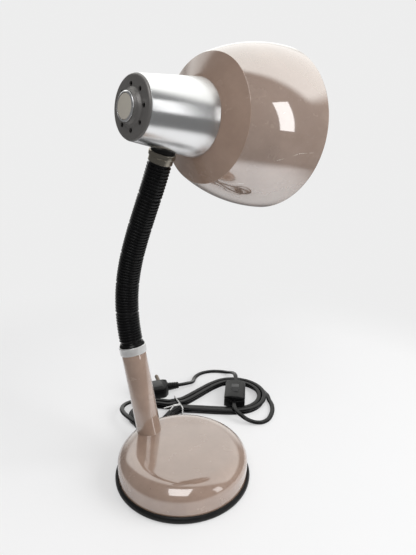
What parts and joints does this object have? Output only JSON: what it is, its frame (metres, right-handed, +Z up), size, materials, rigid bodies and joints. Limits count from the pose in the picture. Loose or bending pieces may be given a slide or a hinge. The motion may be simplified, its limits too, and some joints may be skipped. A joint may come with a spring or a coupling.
{
  "type": "desk lamp",
  "caption": "Desk lamp with a round weighted base, a leaning stem, a ribbed flexible neck, a turned aluminium head with a push switch and a deep spun shade.",
  "frame": {"origin": "centre of the underside of the round base, on the surface that it stands on", "axes": "+Z up, the light shines towards -Y, the stem's side of the base is towards +X"},
  "size_m": [0.2313, 0.2371, 0.3894],
  "materials": {
    "enamel": "glossy taupe enamel",
    "edge_rubber": "satin black",
    "cast_weight": "rough cast",
    "plated_steel": "zinc plated",
    "felt": "pressed felt",
    "brass": "bright turned brass",
    "bezel_metal": "bright satin",
    "sleeve_black": "semi-gloss ribbed plastic",
    "nickel": "warm nickel plate",
    "bright_chrome": "polished",
    "washer_dark": "fibre",
    "turned_aluminium": "brushed and polished",
    "cap_grey": "dark grey satin",
    "button_grey": "matt grey beige",
    "black_moulding": "moulded black",
    "bulb_opal": "opal glass",
    "cap_metal": "pressed",
    "cord_black": "satin flexible plastic",
    "fitting_black": "moulded satin black",
    "tie_clear": "clear over wire"
  },
  "bodies": {
    "base": {"edge_ring": "edge_rubber", "base_cover": "enamel", "ballast": "cast_weight", "base_plate": "plated_steel", "felt_pad": "felt", "plate_screws": "plated_steel", "foot_plug": "plated_steel", "foot_stud": "brass", "foot_washer": "plated_steel", "foot_nut": "brass", "cord_gland": "cord_black", "cord_lead": "cord_black", "cord_hank": "cord_black", "cord_link": "cord_black", "cord_tail": "cord_black", "hank_tie": "tie_clear", "line_switch_base": "fitting_black", "line_switch_cover": "fitting_black", "plug_body": "fitting_black", "plug_cover": "fitting_black", "plug_pins": "brass", "stem_tube": "enamel", "neck_foot": "plated_steel", "bezel_ring": "bezel_metal", "neck_cuff": "sleeve_black"},
    "neck_1": {"neck_core_1": "plated_steel", "neck_sleeve_1": "sleeve_black"},
    "neck_2": {"neck_core_2": "plated_steel", "neck_sleeve_2": "sleeve_black"},
    "neck_3": {"neck_core_3": "plated_steel", "neck_sleeve_3": "sleeve_black"},
    "neck_4": {"neck_core_4": "plated_steel", "neck_sleeve_4": "sleeve_black"},
    "neck_5": {"neck_core_5": "plated_steel", "neck_sleeve_5": "sleeve_black"},
    "neck_6": {"neck_core_6": "plated_steel", "neck_sleeve_6": "sleeve_black"},
    "neck_top": {"ferrule": "nickel", "swivel_nipple": "brass", "spring_washer": "plated_steel", "lock_nut": "brass"},
    "head": {"saddle_washer": "washer_dark", "housing": "turned_aluminium", "end_cap": "cap_grey", "switch_collar": "bright_chrome", "switch_body": "black_moulding", "holder_bracket": "plated_steel", "bracket_screws": "brass", "lampholder": "black_moulding", "screw_shell": "brass", "centre_contact": "brass", "shade": "enamel", "shade_ring": "black_moulding", "bulb_glass": "bulb_opal", "bulb_cap": "cap_metal"},
    "button": {"push_button": "button_grey"},
    "rocker": {"line_switch_rocker": "fitting_black"}
  },
  "joints": [
    {"name": "neck_fore_1", "type": "hinge", "parent": "base", "child": "neck_1", "pos_m": [0.06025, 0.01614, 0.12356], "axis": [-0.2588, 0.9659, 0], "range_deg": [-12, 12]},
    {"name": "neck_side_2", "type": "hinge", "parent": "neck_1", "child": "neck_2", "pos_m": [0.06381, 0.0171, 0.15249], "axis": [0.9653, 0.2587, -0.0349], "range_deg": [-12, 12]},
    {"name": "neck_fore_3", "type": "hinge", "parent": "neck_2", "child": "neck_3", "pos_m": [0.06184, 0.01657, 0.18156], "axis": [-0.2588, 0.9659, 0], "range_deg": [-12, 12]},
    {"name": "neck_side_4", "type": "hinge", "parent": "neck_3", "child": "neck_4", "pos_m": [0.05479, 0.01468, 0.2098], "axis": [0.9133, 0.2447, 0.3256], "range_deg": [-12, 12]},
    {"name": "neck_fore_5", "type": "hinge", "parent": "neck_4", "child": "neck_5", "pos_m": [0.04468, 0.01197, 0.23706], "axis": [-0.2588, 0.9659, 0], "range_deg": [-12, 12]},
    {"name": "neck_side_6", "type": "hinge", "parent": "neck_5", "child": "neck_6", "pos_m": [0.03355, 0.00899, 0.26389], "axis": [0.8858, 0.2374, 0.3987], "range_deg": [-12, 12]},
    {"name": "neck_fore_7", "type": "hinge", "parent": "neck_6", "child": "neck_top", "pos_m": [0.02298, 0.00616, 0.29096], "axis": [-0.2588, 0.9659, 0], "range_deg": [-12, 12]},
    {"name": "head_swivel", "type": "hinge", "parent": "neck_top", "child": "head", "pos_m": [0.02298, 0.00616, 0.29096], "axis": [-0.3383, -0.0906, 0.9367], "range_deg": [-150, 150]},
    {"name": "button_press", "type": "slide", "parent": "head", "child": "button", "axis": [0.024, -0.9959, -0.0877], "range_m": [0, 0.003], "stiffness_N_per_m": 900, "springref_m": -0.001},
    {"name": "switch_rock", "type": "hinge", "parent": "base", "child": "rocker", "pos_m": [0.06409, -0.13132, 0.0124], "axis": [0.7193, 0.6947, 0], "range_deg": [0, 12]}
  ]
}
